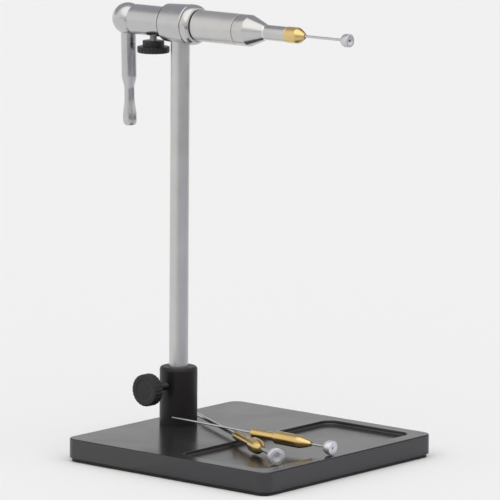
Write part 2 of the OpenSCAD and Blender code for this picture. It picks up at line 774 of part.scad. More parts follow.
// The thin spare lies with its knob on the front rim and its pin across the thick spare's tail.
// Its heading takes its pin past the boss on the near side.
spare_b_ends = spare_ends(spare_b_out, spare_b_cone_len, spare_b_head_len, spare_b_tail_len);
spare_b_pin_r = spare_b_pin_d / 2;
spare_b_radii = [spare_b_knob_d / 2, spare_b_pin_r, spare_b_head_d / 2, tail_r, spare_b_pin_r];
spare_b_x = plate_front - spare_b_back;
spare_b_y = -spare_b_side;
spare_b_z = plate_top + spare_b_knob_d / 2 + rest_gap;
spare_b_turn = atan2(spare_b_y, spare_b_x)
    + asin((boss_r + spare_b_clear + spare_b_pin_r) / norm([spare_b_x, spare_b_y]));
// The runs are measured in plan, from each knob's face back to where the two spares cross
spare_gap_x = spare_b_x - spare_a_x;
spare_gap_y = spare_b_y - spare_a_y;
cross_sine = sin(spare_b_turn - spare_a_turn);
cross_run_a = (spare_gap_y * cos(spare_b_turn) - spare_gap_x * sin(spare_b_turn)) / cross_sine;
cross_run_b = (spare_gap_y * cos(spare_a_turn) - spare_gap_x * sin(spare_a_turn)) / cross_sine;
cross_z = spare_a_z + cross_run_a * tan(spare_a_tilt) + rest_gap
    + rest_r(cross_run_a, spare_a_ends, spare_a_radii)
    + rest_r(cross_run_b, spare_b_ends, spare_b_radii);
spare_b_tilt = atan((cross_z - spare_b_z) / cross_run_b);
module at_spare_b() {
    translate([spare_b_x, spare_b_y, spare_b_z]) rotate([0, 0, spare_b_turn])
        rotate([0, spare_b_tilt, 0]) children();
}
module spare_b_collet() {
    at_spare_b() split_collet(-knob_len - spare_b_out, spare_b_head_d, spare_b_head_len,
        spare_b_cone_len, spare_b_tail_len, spare_b_pin_r + run_gap);
}
module spare_b_pin() { at_spare_b() steel_pin(spare_b_pin_d, spare_b_pin_len); }
module spare_b_knob() { at_spare_b() flared_knob(spare_b_knob_d, spare_b_pin_d); }

base_plate();
base_pad();
stem_boss();
boss_bolt();
stem();
clamp_tip();
clamp_screw();
clamp_knob();
head_body();
rear_tube();
front_cap();
rear_bush();
front_bush();
stem_screw();
thrust_washer();
rear_washer();
lock_tip();
lock_screw();
lock_knob();
spindle();
crank_hub();
crank_handle();
crank_set_screw();
barrel();
collet();
nose_sleeve();
mandrel_pin();
pin_knob();
spare_a_collet();
spare_a_pin();
spare_a_knob();
spare_b_collet();
spare_b_pin();
spare_b_knob();
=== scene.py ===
# %% [markdown]
# # A rotary vise for tube flies
#
# A heavy base carries a round stem, and the stem carries a head whose spindle turns by a crank. The
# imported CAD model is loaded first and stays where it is. Each visible piece is then made again as a
# finer surface in the same place, and gets the finish of the real one.

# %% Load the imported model
import json
import math
import bpy
import numpy as np
from mathutils import Matrix


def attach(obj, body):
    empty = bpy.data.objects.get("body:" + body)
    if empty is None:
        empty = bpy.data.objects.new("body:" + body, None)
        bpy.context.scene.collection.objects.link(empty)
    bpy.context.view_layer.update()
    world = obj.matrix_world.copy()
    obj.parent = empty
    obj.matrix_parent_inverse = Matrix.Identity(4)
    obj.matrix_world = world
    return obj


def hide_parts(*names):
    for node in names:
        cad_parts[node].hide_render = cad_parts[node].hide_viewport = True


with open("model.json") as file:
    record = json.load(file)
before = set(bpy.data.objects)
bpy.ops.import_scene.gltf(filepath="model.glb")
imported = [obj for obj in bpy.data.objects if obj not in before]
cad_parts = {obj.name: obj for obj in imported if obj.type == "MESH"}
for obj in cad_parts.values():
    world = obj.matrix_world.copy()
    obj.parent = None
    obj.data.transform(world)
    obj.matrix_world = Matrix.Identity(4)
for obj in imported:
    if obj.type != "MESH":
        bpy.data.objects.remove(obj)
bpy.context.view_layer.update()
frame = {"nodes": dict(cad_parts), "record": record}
record = frame["record"]
body_of = {node: body for body, nodes in record["behaviour"]["bodies"].items() for node in nodes}

# %% [markdown]
# ## The camera
#
# The photograph was taken with a long lens, a little above the level and about forty degrees round
# from the vise's front. A camera can be placed by hand until it looks right, or solved from points
# whose places are known. It was solved here, from the base's corners, the stem's two sides and the
# head's axis, and the solution is written as angles, a distance and a focal length.

# %% Camera
turn, rise, roll = (math.radians(a) for a in (39.8025, 9.2187, 0.4397))
distance, aim_right, aim_up = 2.35404, 0.035690, 0.100131
focal_px, picture_px = 4700, 500
back = np.array([math.sin(turn) * math.cos(rise), -math.cos(turn) * math.cos(rise), math.sin(rise)])
level = np.array([math.cos(turn), math.sin(turn), 0.0])
upward = np.cross(back, level)
right = math.cos(roll) * level + math.sin(roll) * upward
up = -math.sin(roll) * level + math.cos(roll) * upward
place = aim_right * level + np.array([0, 0, aim_up]) + distance * back

lens = bpy.data.cameras.new("camera")
lens.sensor_width = 36.0
lens.lens = lens.sensor_width * focal_px / picture_px
lens.shift_x, lens.shift_y = -0.001, 0.001
lens.clip_end = 60.0
camera = bpy.data.objects.new("camera", lens)
bpy.context.scene.collection.objects.link(camera)
camera.matrix_world = Matrix(np.vstack([np.column_stack([right, up, back, place]), [0, 0, 0, 1]]).tolist())
bpy.context.scene.camera = camera
print("camera at", place.round(3), "lens", round(lens.lens, 1), "mm")

# %% [markdown]
# ## Colours and nodes
#
# Colours are written as they look on a screen, in hex, because that is how they are read off a
# picture. Light adds up linearly, so each one is turned to linear shares first. Every material is a
# small graph of nodes, and one helper adds a node, sets its inputs and joins it to the others.

# %% Three helpers for materials
def linear(code):
    """Hex to linear: a share c is c / 12.92 where dark, and ((c + 0.055) / 1.055) to the 2.4 elsewhere."""
    c = np.array([int(code[i:i + 2], 16) for i in (1, 3, 5)]) / 255
    c = np.where(c <= 0.04045, c / 12.92, ((c + 0.055) / 1.055) ** 2.4)
    return (*c.tolist(), 1.0)


def add(tree, kind, inputs=(), **settings):
    """Adds a node. inputs maps a socket's name or number to a value, or to the socket that feeds it."""
    node = tree.nodes.new("ShaderNode" + kind)
    for key, value in settings.items():
        setattr(node, key, value)
    for key, value in dict(inputs).items():
        if isinstance(value, bpy.types.NodeSocket):
            tree.links.new(value, node.inputs[key])
        else:
            node.inputs[key].default_value = value
    return node


def blank(name):
    """A new material with an empty node tree."""
    material = bpy.data.materials.new(name)
    material.use_nodes = True
    material.node_tree.nodes.clear()
    return material, material.node_tree


print("mid grey", [round(c, 3) for c in linear("#808080")])

# %% [markdown]
# ## The studio
#
# Bare metal shows the room more than itself, so the room decides its look. The crank's ball in the
# photograph mirrors nearly all of it: a pale room, a broad soft box high above the camera, a darker
# ceiling towards the back, a dimmer zone behind the camera. The stem is paler on its left, so the
# table is dimmer on the right, and the handle's dark side shows where the table ends. A ready-made
# sky picture couldn't be steered like that, so the room is built from these few things.

# %% World
toward = np.array([math.sin(turn), -math.cos(turn), 0.0])
zenith = np.array([0.0, 0.0, 1.0])
# Each zone has a direction, and the two cosines from it between which the room's light changes.
zones = {"high_front": (0.45 * toward + 0.893 * zenith, 0.55, 0.92), "ceiling": (-toward, 0.08, 0.26),
         "behind_camera": (toward, 0.1, 0.95), "over_walls": (zenith, 0.10, 0.34)}
world = bpy.data.worlds.new("studio")
bpy.context.scene.world = world
world.use_nodes = True
tree = world.node_tree
tree.nodes.clear()
ray = add(tree, "TexCoord")
share = {}
for zone, (direction, start, end) in zones.items():
    cosine = add(tree, "VectorMath", {0: ray.outputs["Generated"], 1: tuple(direction)},
                 operation="DOT_PRODUCT")
    step = add(tree, "MapRange", {0: cosine.outputs["Value"], 1: start, 2: end},
               interpolation_type="SMOOTHSTEP")
    share[zone] = step.outputs[0]
front = add(tree, "MixRGB", {
    "Fac": share["high_front"], "Color1": (0.96, 0.95, 0.93, 1), "Color2": (1.10, 1.10, 1.08, 1)})
dome = add(tree, "MixRGB", {
    "Fac": share["ceiling"], "Color1": front.outputs[0], "Color2": (0.42, 0.415, 0.45, 1)})
walls = add(tree, "MixRGB", {
    "Fac": share["behind_camera"], "Color1": (0.98, 0.98, 0.97, 1), "Color2": (0.64, 0.64, 0.64, 1)})
room = add(tree, "MixRGB", {
    "Fac": share["over_walls"], "Color1": walls.outputs[0], "Color2": dome.outputs[0]})
glow = add(tree, "Background", {"Color": room.outputs[0], "Strength": 1.0})
add(tree, "OutputWorld", {"Surface": glow.outputs[0]})
print("world", world.name, "with zones", list(zones))

# %% Soft box, as a very wide sun
box_rise, box_turn = math.radians(62), math.radians(12)
to_box = math.cos(box_rise) * (math.cos(box_turn) * toward - math.sin(box_turn) * level)
to_box = to_box + math.sin(box_rise) * zenith
soft_box = bpy.data.lights.new("soft_box", "SUN")
soft_box.energy, soft_box.angle = 0.46, math.radians(80)
lamp = bpy.data.objects.new("soft_box", soft_box)
bpy.context.scene.collection.objects.link(lamp)
lamp_x = np.cross(zenith, to_box) / np.linalg.norm(np.cross(zenith, to_box))
lamp_axes = np.column_stack([lamp_x, np.cross(to_box, lamp_x), to_box, to_box])
lamp.matrix_world = Matrix(np.vstack([lamp_axes, [0, 0, 0, 1]]).tolist())
print("soft box towards", to_box.round(2))


# %% Floor and cards
def stage_sheet(name, colour, corners, faces=((0, 1, 2, 3),)):
    """A diffuse sheet that belongs to the studio and not to the vise."""
    sheet, tree = blank(name)
    matt = add(tree, "BsdfDiffuse", {"Color": linear(colour)})
    add(tree, "OutputMaterial", {"Surface": matt.outputs[0]})
    mesh = bpy.data.meshes.new(name)
    mesh.from_pydata([tuple(map(float, c)) for c in corners], [], faces)
    mesh.materials.append(sheet)
    piece = bpy.data.objects.new(name, mesh)
    bpy.context.scene.collection.objects.link(piece)
    return piece


def at(rightward, forward, z):
    """A place in the studio: metres to the camera's right, towards the camera, and up."""
    return rightward * level + forward * toward + z * zenith


reach = 14
stage_sheet("white_table_board", "#f8f8f8", [
    (-reach, -reach, 0), (reach, -reach, 0), (reach, reach, 0), (-reach, reach, 0)])
# The table is dimmer on the camera's right, and past its edge it is dark. Only reflections see these
# two cards, so they change neither the table nor its shadow.
dim_plan = [(-0.06, 0.15), (0.13, -0.3), (2, -0.3), (2, 3), (-1.4, 3)]
dim_table = stage_sheet("dim_side_of_table", "#e6e6f0", [at(*spot, 0.002) for spot in dim_plan],
                        [(0, 1, 2, 3, 4)])
edge_plan = [(-0.42, 0.9), (0.65, 0.6), (0.8, -0.6)]
edge_height = 0.15
past_edge = stage_sheet("dark_past_the_table", "#86848c", [
    at(*spot, z) for z in (0, edge_height) for spot in edge_plan], [(0, 1, 4, 3), (1, 2, 5, 4)])
for card in (dim_table, past_edge):
    card.visible_camera = card.visible_diffuse = card.visible_shadow = card.visible_transmission = False
print("floor", 2 * reach, "m square, cards", dim_table.name, past_edge.name)

# %% [markdown]
# ## Turned surfaces
#
# Nearly every piece was made on a lathe. Blender could spin a profile with a modifier, but a grid of
# points worked out with numpy gives full control: the rows follow the profile and the columns go
# round the axis. The grid also carries what the finish needs, namely a UV map whose second number is
# the distance along the profile in millimetres, and an attribute that is 1 on the broken edges and
# -1 in the seams. The bare metals paint the edges brighter as a highlight and the seams dark as shade.

# %% Profiles with broken edges
hold, long_face = 0.05, 1.2


def rounded(corners, steps=5, loop=False):
    """corners are (distance, radius, rounding) in mm, and a fourth number of -1 marks a seam, which the
    finish paints dark as shade. Each corner P is cut back by its rounding to A and B and replaced by the
    curve (1-t)^2 A + 2t(1-t) P + t^2 B. A long face gets one more point just inside each end, so that
    its shading stays flat."""
    p = np.array([c[:2] for c in corners], float)
    wish = np.array([c[2] for c in corners], float)
    seam_shade = [c[3] if len(c) > 3 else 0.0 for c in corners]
    before, after = np.roll(p, 1, axis=0) - p, np.roll(p, -1, axis=0) - p
    len_b, len_a = np.linalg.norm(before, axis=1), np.linalg.norm(after, axis=1)
    cut = np.minimum(wish, 0.45 * np.minimum(len_b, len_a))
    if not loop:
        cut[[0, -1]] = len_b[0] = len_a[-1] = 0
    t = np.linspace(0, 1, steps)[:, None]
    points, marks = [], []
    for i in range(len(p)):
        if cut[i] <= 0:
            hold_b = [p[i] + hold / len_b[i] * before[i]] if len_b[i] > long_face else []
            hold_a = [p[i] + hold / len_a[i] * after[i]] if len_a[i] > long_face else []
            points.append(np.array([*hold_b, p[i], *hold_a]))
            marks.append([0.0] * len(hold_b) + [seam_shade[i]] + [0.0] * len(hold_a))
            continue
        b, a = before[i] / len_b[i], after[i] / len_a[i]
        lead = min(hold, 0.04 * min(len_b[i], len_a[i]))
        start, end = p[i] + cut[i] * b, p[i] + cut[i] * a
        curve = (1 - t) ** 2 * start + 2 * t * (1 - t) * p[i] + t ** 2 * end
        points += [[start + lead * b], curve, [end + lead * a]]
        shine = np.full(steps, seam_shade[i]) if seam_shade[i] else np.sin(np.pi * t[:, 0]) ** 0.5
        marks += [[0.0], shine, [0.0]]
    return np.concatenate(points), np.concatenate(marks)


print("a corner rounded by 1 mm", rounded([(0, 0, 0), (0, 5, 1), (5, 5, 0)])[0].round(2).tolist())


# %% A mesh from a grid
def grid_piece(name, points, along_mm, marks, loop=False):
    """points[row, column] is a closed tube of columns. A row whose points meet is a pole and is merged to
    one vertex. With loop the last row joins the first. Faces are turned to a positive volume."""
    rows, cols = points.shape[:2]
    index = np.arange(rows * cols).reshape(rows, cols)
    pole = np.ptp(points, axis=1).max(axis=1) < 1e-9
    index[pole] = index[pole][:, :1]
    i = np.arange(rows if loop else rows - 1)
    k = (i + 1) % rows
    j, n = np.arange(cols), (np.arange(cols) + 1) % cols
    quads = np.stack([index[i][:, j], index[k][:, j], index[k][:, n], index[i][:, n]], axis=-1)
    step = np.r_[np.diff(along_mm), 0.1] if loop else np.diff(along_mm)
    u0, u1 = (np.broadcast_to(x / cols, quads.shape[:2]) for x in (j, j + 1))
    v0 = np.broadcast_to(along_mm[i][:, None], quads.shape[:2])
    v1 = v0 + step[:, None]
    maps = np.stack([np.stack(pair, -1) for pair in ((u0, v0), (u0, v1), (u1, v1), (u1, v0))], axis=2)
    start, end = pole[i], pole[k]
    middle = ~start & ~end
    first, last = [0, 1, 2], [0, 1, 3]
    corner_sets = [
        (quads[middle].reshape(-1, 4), maps[middle].reshape(-1, 4, 2)),
        (quads[start][..., first].reshape(-1, 3), maps[start][..., first, :].reshape(-1, 3, 2)),
        (quads[end][..., last].reshape(-1, 3), maps[end][..., last, :].reshape(-1, 3, 2))]
    flat = points.reshape(-1, 3)
    volume = sum(np.einsum("ij,ij->", flat[f[:, 0]], np.cross(flat[f[:, a]], flat[f[:, a + 1]]))
                 for f, _ in corner_sets if len(f) for a in range(1, f.shape[1] - 1))
    if volume < 0:
        corner_sets = [(f[:, ::-1], m[:, ::-1]) for f, m in corner_sets]
    used, new_index = np.unique(np.concatenate([f.ravel() for f, _ in corner_sets]), return_inverse=True)
    cuts = np.cumsum([f.size for f, _ in corner_sets])[:-1]
    parts = [part.reshape(f.shape) for part, (f, _) in zip(np.split(new_index, cuts), corner_sets)]
    mesh = bpy.data.meshes.new(name)
    mesh.from_pydata(flat[used].tolist(), [], [face for part in parts for face in part.tolist()])
    layer = mesh.uv_layers.new(name="along")
    uv = np.concatenate([m.reshape(-1, 2) for _, m in corner_sets]).ravel()
    layer.data.foreach_set("uv", uv.astype(np.float32))
    edge = mesh.attributes.new("edge", "FLOAT", "POINT")
    edge.data.foreach_set("value", np.repeat(marks, cols)[used].astype(np.float32))
    mesh.shade_smooth()
    piece = bpy.data.objects.new(name, mesh)
    bpy.context.scene.collection.objects.link(piece)
    return piece


# %% A profile turned about an axis
def frame_of(axis):
    """The axis as a unit vector, and two more at right angles to it and to each other."""
    a = np.array(axis, float) / np.linalg.norm(axis)
    b = np.cross(a, (0, 0, 1) if abs(a[2]) < 0.9 else (1, 0, 0))
    b /= np.linalg.norm(b)
    return a, b, np.cross(a, b)


def turned(name, corners, origin, axis, columns=96, loop=False, steps=5, radius=None):
    """The point at distance s and angle w is origin + s axis + r (cos w side + sin w other), in mm. radius
    may change r with s and w, for flutes and threads."""
    points, marks = rounded(corners, steps, loop)
    s, r = points[:, :1], points[:, 1:]
    w = np.linspace(0, 2 * np.pi, columns, endpoint=False)[None, :]
    r = r + 0 * w if radius is None else radius(s, r, w)
    a, side, other = frame_of(axis)
    ring = (r * np.cos(w))[..., None] * side + (r * np.sin(w))[..., None] * other
    along = np.r_[0, np.cumsum(np.linalg.norm(np.diff(points, axis=0), axis=1))]
    return grid_piece(name, (np.array(origin) + s[..., None] * a + ring) * 0.001, along, marks, loop)


def stand_for(piece, node, material):
    """The piece gets the given material and rides on the CAD node's body, and the CAD node is hidden."""
    piece.data.materials.clear()
    piece.data.materials.append(material)
    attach(piece, body_of[node])
    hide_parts(node)
    corners = np.empty(3 * len(piece.data.vertices))
    piece.data.vertices.foreach_get("co", corners)
    size = (np.ptp(corners.reshape(-1, 3), axis=0) * 1000).round(1)
    print(piece.name, "for", node, "size", size.tolist(), "mm,", len(piece.data.polygons), "faces")


# %% [markdown]
# ## Bare metals
#
# The stem, the head and the crank are bare aluminium off the lathe: a pale grey, slightly warm, with
# soft highlights. Turning leaves fine rings that blur the reflections a little along the axis, and
# handling leaves faint cloudy patches. Brass and steel come off the same lathe. The rings follow the
# profile, so they read the UV map; the patches are in space and read the object's own coordinates.
# A plain grey at one roughness would look like plastic film; the small changes make it metal.

# %% Turned metal
def turned_metal(name, colour, edge_highlight, rough, ring_mm, depth_mm, cloud=0.04, sway=0.025):
    """Rings: noise of one dimension over distance / ring_mm, as relief and as gloss. Patches: noise in
    space, 12 mm across, and specks of half a millimetre in the relief. The broken edges are painted
    brighter, a painted highlight, and the seams are painted dark, a painted shade. A real tool leaves
    rings about 0.15 mm apart; here they are up to 0.5 mm apart, as coarse as they need to be to show."""
    material, tree = blank(name)
    uv = add(tree, "UVMap", uv_map="along")
    along = add(tree, "SeparateXYZ", {0: uv.outputs[0]})
    count = add(tree, "Math", {0: along.outputs["Y"], 1: 1 / ring_mm}, operation="MULTIPLY")
    rings = add(tree, "TexNoise", {"W": count.outputs[0], "Detail": 3.0, "Roughness": 0.6, "Scale": 1.0},
                noise_dimensions="1D")
    where = add(tree, "TexCoord")
    patches = add(tree, "TexNoise", {"Vector": where.outputs["Object"], "Scale": 85.0, "Detail": 4.0})
    specks = add(tree, "TexNoise", {"Vector": where.outputs["Object"], "Scale": 1900.0, "Detail": 2.0})
    edge = add(tree, "Attribute", attribute_name="edge")
    # The seams are painted dark: a painted shade where two parts meet.
    seam_shade = add(tree, "Math", {0: edge.outputs["Fac"], 1: -0.85}, operation="MULTIPLY", use_clamp=True)
    tone = add(tree, "MapRange", {0: patches.outputs[0], 1: 0.3, 2: 0.7, 3: 1 - cloud, 4: 1 + cloud})
    base = add(tree, "VectorMath", {0: linear(colour)[:3], "Scale": tone.outputs[0]}, operation="SCALE")
    # The broken edges are painted in the brighter edge colour: a painted highlight.
    edge_wear_and_painted_light = add(tree, "MixRGB", {
        "Fac": edge.outputs["Fac"], "Color1": base.outputs[0], "Color2": linear(edge_highlight)}, use_clamp=True)
    paint = add(tree, "MixRGB", {
        "Fac": seam_shade.outputs[0], "Color1": edge_wear_and_painted_light.outputs[0], "Color2": linear("#2e2b2a")})
    ring_part = add(tree, "MapRange", {
        0: rings.outputs[0], 1: 0.25, 2: 0.75, 3: rough - sway, 4: rough + sway})
    patch_part = add(tree, "MapRange", {0: patches.outputs[0], 1: 0.3, 2: 0.7, 3: -sway, 4: sway})
    dull = add(tree, "Math", {0: ring_part.outputs[0], 1: patch_part.outputs[0]}, operation="ADD")
    grain = add(tree, "Math", {0: specks.outputs[0], 1: 0.25, 2: rings.outputs[0]},
                operation="MULTIPLY_ADD")
    relief = add(tree, "Bump", {"Height": grain.outputs[0], "Distance": depth_mm * 0.001, "Strength": 1.0})
    metal = add(tree, "BsdfPrincipled", {
        "Base Color": paint.outputs[0], "Metallic": 1.0, "Roughness": dull.outputs[0],
        "Normal": relief.outputs[0]})
    add(tree, "OutputMaterial", {"Surface": metal.outputs[0]})
    return material


# Bare turned aluminium: pale grey, satin.
aluminium = turned_metal("turned_aluminium_bar", "#c4c3c4", "#dadad8",
                         rough=0.24, ring_mm=0.3, depth_mm=0.0008)
# The stem is drawn rod, duller than what came off the lathe.
drawn = turned_metal("drawn_aluminium_rod", "#cac9c7", "#dededc", rough=0.36, ring_mm=0.15, depth_mm=0.004)
# The barrel was blasted with fine beads over its turning rings, so its reflections are soft.
blasted = turned_metal("bead_blasted_aluminium", "#cbcac9", "#dededc",
                       rough=0.34, ring_mm=0.5, depth_mm=0.001)
# The sleeve and the cap were polished after turning, so their reflections are the sharpest.
polished = turned_metal("polished_aluminium", "#c6c5c4", "#dededc",
                        rough=0.2, ring_mm=0.35, depth_mm=0.0004)
# The handle is satin, a touch duller than the tube, from years in the hand.
satin = turned_metal("satin_aluminium_handle", "#c3c2c2", "#dadad8",
                     rough=0.26, ring_mm=0.25, depth_mm=0.001)
# Free-cutting brass, turned bright: warm yellow, with its edges painted paler as a painted highlight.
brass = turned_metal("turned_brass", "#dcc083", "#f0e2b8",
                     rough=0.24, ring_mm=0.3, depth_mm=0.0008, cloud=0.06)
# Stainless knobs, turned and tumbled, with a soft gloss; their colour is painted nearly white, a painted
# highlight.
steel_painted_bright = turned_metal("tumbled_stainless_steel_painted_bright", "#ececee", "#f4f4f4",
                            rough=0.46, ring_mm=0.25, depth_mm=0.0006, cloud=0.03)
# The fitted pin's knob is worn smoother by the fly tubes, and its colour is painted darker than the spares'
# knobs, as painted shade.
worn_steel_with_painted_shade = turned_metal("worn_stainless_steel_with_painted_shade", "#d2d2d4", "#e8e8e8",
                          rough=0.34, ring_mm=0.25, depth_mm=0.0006, cloud=0.03)
# Drawn steel wire for the pins, straightened and ground across.
pin_wire = turned_metal("ground_steel_wire", "#c6c7ca", "#d8d8da",
                        rough=0.22, ring_mm=0.2, depth_mm=0.0006, cloud=0.04)
# Zinc-plated screw steel, a touch darker.
screw_steel = turned_metal("plated_screw_steel", "#b4b5b8", "#cfd0d2",
                           rough=0.3, ring_mm=0.2, depth_mm=0.0006, cloud=0.05)
# The base's screw is painted dark, a painted shade from the black knob and boss round it, and shows as a
# dark stub between them.
screw_steel_painted_dark = turned_metal("screw_steel_with_painted_shade", "#3c3b3a", "#6a6866",
                           rough=0.34, ring_mm=0.2, depth_mm=0.0006, cloud=0.05)
print("materials so far", [m.name for m in bpy.data.materials if m.use_nodes])

# %% [markdown]
# ## Black finishes
#
# The base plate is steel under a semi-gloss black coating. Seen from the side it is nearly black, but
# at a low angle its top mirrors the room and turns grey, with dim reflections of the boss and of the
# pins in it. The boss is anodised and the knobs are moulded. None of them is one flat colour: the
# coating has a fine grain like orange peel, and the moulded plastic is cloudy in its gloss.

# %% Coated and moulded black
def black_coat(name, colour, edge_wear_and_painted_light, rough, grain_mm, depth_mm, wear_and_painted_light, sway=0.03, ior=1.5):
    """Grain: noise in space grain_mm across, as relief. Edges: the edge attribute times a coarser noise
    mixes in the edge colour, which is wear where it is lighter and painted shade where it is darker.
    """
    material, tree = blank(name)
    where = add(tree, "TexCoord")
    grain = add(tree, "TexNoise", {
        "Vector": where.outputs["Object"], "Scale": 1000 / grain_mm, "Detail": 2.0})
    clouds = add(tree, "TexNoise", {"Vector": where.outputs["Object"], "Scale": 55.0, "Detail": 5.0})
    edge = add(tree, "Attribute", attribute_name="edge")
    patchy = add(tree, "MapRange", {0: clouds.outputs[0], 1: 0.35, 2: 0.65, 3: 0.35 * wear_and_painted_light, 4: wear_and_painted_light})
    wear_and_painted_light_mask = add(tree, "Math", {0: edge.outputs["Fac"], 1: patchy.outputs[0]},
               operation="MULTIPLY", use_clamp=True)
    tone = add(tree, "MapRange", {0: clouds.outputs[0], 1: 0.3, 2: 0.7, 3: 0.93, 4: 1.07})
    base = add(tree, "VectorMath", {0: linear(colour)[:3], "Scale": tone.outputs[0]}, operation="SCALE")
    paint = add(tree, "MixRGB", {
        "Fac": wear_and_painted_light_mask.outputs[0], "Color1": base.outputs[0], "Color2": linear(edge_wear_and_painted_light)})
    dull = add(tree, "MapRange", {0: clouds.outputs[0], 1: 0.3, 2: 0.7, 3: rough - sway, 4: rough + sway})
    relief = add(tree, "Bump", {"Height": grain.outputs[0], "Distance": depth_mm * 0.001, "Strength": 1.0})
    shell = add(tree, "BsdfPrincipled", {
        "Base Color": paint.outputs[0], "Roughness": dull.outputs[0], "IOR": ior,
        "Normal": relief.outputs[0]})
    add(tree, "OutputMaterial", {"Surface": shell.outputs[0]})
    return material


# Powder coat on steel: charcoal, semi-gloss. Its broken edges, the tray's lip among them, are painted
# blacker as shade.
plate_black = black_coat("semi_gloss_black_powder_coat", "#292827", "#121112",
                         rough=0.21, grain_mm=0.6, depth_mm=0.0012, wear_and_painted_light=1.0, ior=1.62)
# Black anodised aluminium: darker and duller than the powder coat, and even in its gloss.
boss_black = black_coat("black_anodised_aluminium", "#1b181a", "#302d2f",
                        rough=0.4, grain_mm=0.3, depth_mm=0.0004, wear_and_painted_light=0.2, sway=0.015, ior=1.38)
# Phenolic moulding for the thumb knobs: black, half gloss.
knob_black = black_coat("black_phenolic_moulding", "#1d1b1a", "#262423",
                        rough=0.42, grain_mm=0.4, depth_mm=0.001, wear_and_painted_light=0.2, ior=1.45)
# Acetal washer: dark grey and matt.
washer_black = black_coat("black_acetal_washer", "#2c2b2c", "#343334",
                          rough=0.5, grain_mm=0.3, depth_mm=0.001, wear_and_painted_light=0.2)
# Rubber pad: nearly black, quite matt, with a coarse grain.
pad_rubber = black_coat("black_rubber_pad", "#19191a", "#232324",
                        rough=0.7, grain_mm=0.7, depth_mm=0.01, wear_and_painted_light=0.2)
print("black finishes", [m.name for m in (plate_black, boss_black, knob_black, washer_black, pad_rubber)])

# %% [markdown]
# ## The base plate
#
# The plate is a slab with rounded corners and a shallow tray milled into its front half. A
# box with bevels would leave the tray to a boolean. Here the whole plate is one grid instead: its
# columns go round a rounded rectangle, and its rows run up the side, over the edge, across the top,
# down the tray's wall and in to the middle of the tray's floor.

# %% Rounded rectangles
def outline(x0, x1, y0, y1, corner, inset, per_corner=14, per_side=8):
    """Points round a rectangle moved inwards by inset. A corner is a quarter circle about its own
    centre, a side is a straight line between two of them, and each has a fixed number of points."""
    r = corner - inset
    centres = [(x1 - corner, y1 - corner), (x0 + corner, y1 - corner),
               (x0 + corner, y0 + corner), (x1 - corner, y0 + corner)]
    a = np.linspace(0, np.pi / 2, per_corner)
    arcs = [np.column_stack([cx + r * np.cos(a + q * np.pi / 2), cy + r * np.sin(a + q * np.pi / 2)])
            for q, (cx, cy) in enumerate(centres)]
    t = np.linspace(0, 1, per_side + 1, endpoint=False)[1:, None]
    runs = [arc[-1] * (1 - t) + following[0] * t for arc, following in zip(arcs, arcs[1:] + arcs[:1])]
    return np.concatenate([part for pair in zip(arcs, runs) for part in pair])


def shell_rows(rows):
    """rows are (x0, x1, y0, y1, corner, inset, z, mark) in mm, or a pole (x, y, z). Returns the grid, the
    mean distance run so far at each row, and the marks."""
    trial = (0, 10, 0, 10, 1)
    columns = len(outline(*trial, inset=0))
    layers = [np.column_stack([outline(*row[:6]), np.full(columns, row[6])]) if len(row) > 3
              else np.tile(row, (columns, 1)) for row in rows]
    points = np.stack(layers).astype(float)
    along = np.r_[0, np.cumsum(np.linalg.norm(np.diff(points, axis=0), axis=2).mean(axis=1))]
    return points * 0.001, along, np.array([row[7] if len(row) > 3 else 0.0 for row in rows])


# %% Plate with its tray
outer = (-17.7, 111.8, -65.75, 65.75, 6.0)
tray = (50.5, 104.0, -57.95, 57.95, 6.0)
plate_mid, tray_mid = ((sheet[0] + sheet[1]) / 2 for sheet in (outer, tray))
low, top, floor_z = 1.75, 11.75, 9.75
edge_r, lip_r, foot_r = 0.6, 0.35, 0.8
# Rows just beside a rounding and well inside a face keep the flat faces flat in the shading.
beside, plate_ring, tray_ring, pad_ring = 0.1, 2.5, 5.5, 1.4
# Along a quarter circle: two shares of its radius, and the edge mark, which is highest halfway.
quarter = np.linspace(0, np.pi / 2, 6)
fade, grow, bow = 1 - np.sin(quarter), 1 - np.cos(quarter), np.sin(2 * quarter) ** 0.5


def round_over(sheet, insets, heights, marks=bow):
    """Rows of a quarter circle: 1 - sin and 1 - cos of its angles, as insets and as heights."""
    return [(*sheet, inset, height, mark) for inset, height, mark in zip(insets, heights, marks)]


rows = [(plate_mid, 0, low), (*outer, plate_ring, low, 0), (*outer, edge_r + beside / 2, low, 0)]
rows += round_over(outer, edge_r * fade, low + edge_r * grow)
rows += [(*outer, 0, low + edge_r + beside, 0), (*outer, 0, top - edge_r - beside, 0)]
rows += round_over(outer, edge_r * grow, top - edge_r * fade)
rows += [(*outer, edge_r + beside, top, 0), (*tray, -lip_r - beside, top, 0)]
rows += round_over(tray, -lip_r * fade, top - lip_r * grow)
rows += round_over(tray, foot_r * grow, floor_z + foot_r * fade, 0 * bow)
rows += [(*tray, foot_r + beside, floor_z, 0), (*tray, tray_ring, floor_z, 0), (tray_mid, 0, floor_z)]
plate = grid_piece("tray_plate", *shell_rows(rows))
stand_for(plate, "base_plate", plate_black)

# %% The pad underneath
pad_in, pad_r = 1.2, 0.3
pad = tuple(side + way * pad_in for side, way in zip(outer, (1, -1, 1, -1, -1)))
rows = [(plate_mid, 0, 0), (*pad, pad_ring, 0, 0), (*pad, pad_r + beside, 0, 0)]
rows += round_over(pad, pad_r * fade, pad_r * grow)
rows += [(*pad, 0, low - pad_r, 0), (*pad, beside, low, 0), (*pad, pad_ring, low, 0), (plate_mid, 0, low)]
stand_for(grid_piece("foot_pad", *shell_rows(rows)), "base_pad", pad_rubber)

# %% [markdown]
# ## Boss and stem
#
# The boss is a short round bar, anodised black, with its top edge rounded over and a blind socket for
# the stem. The stem is plain rod. Both are turned profiles; the boss's profile goes down into the
# socket and ends on its floor, so the mesh is closed and the gap round the stem is a real one.

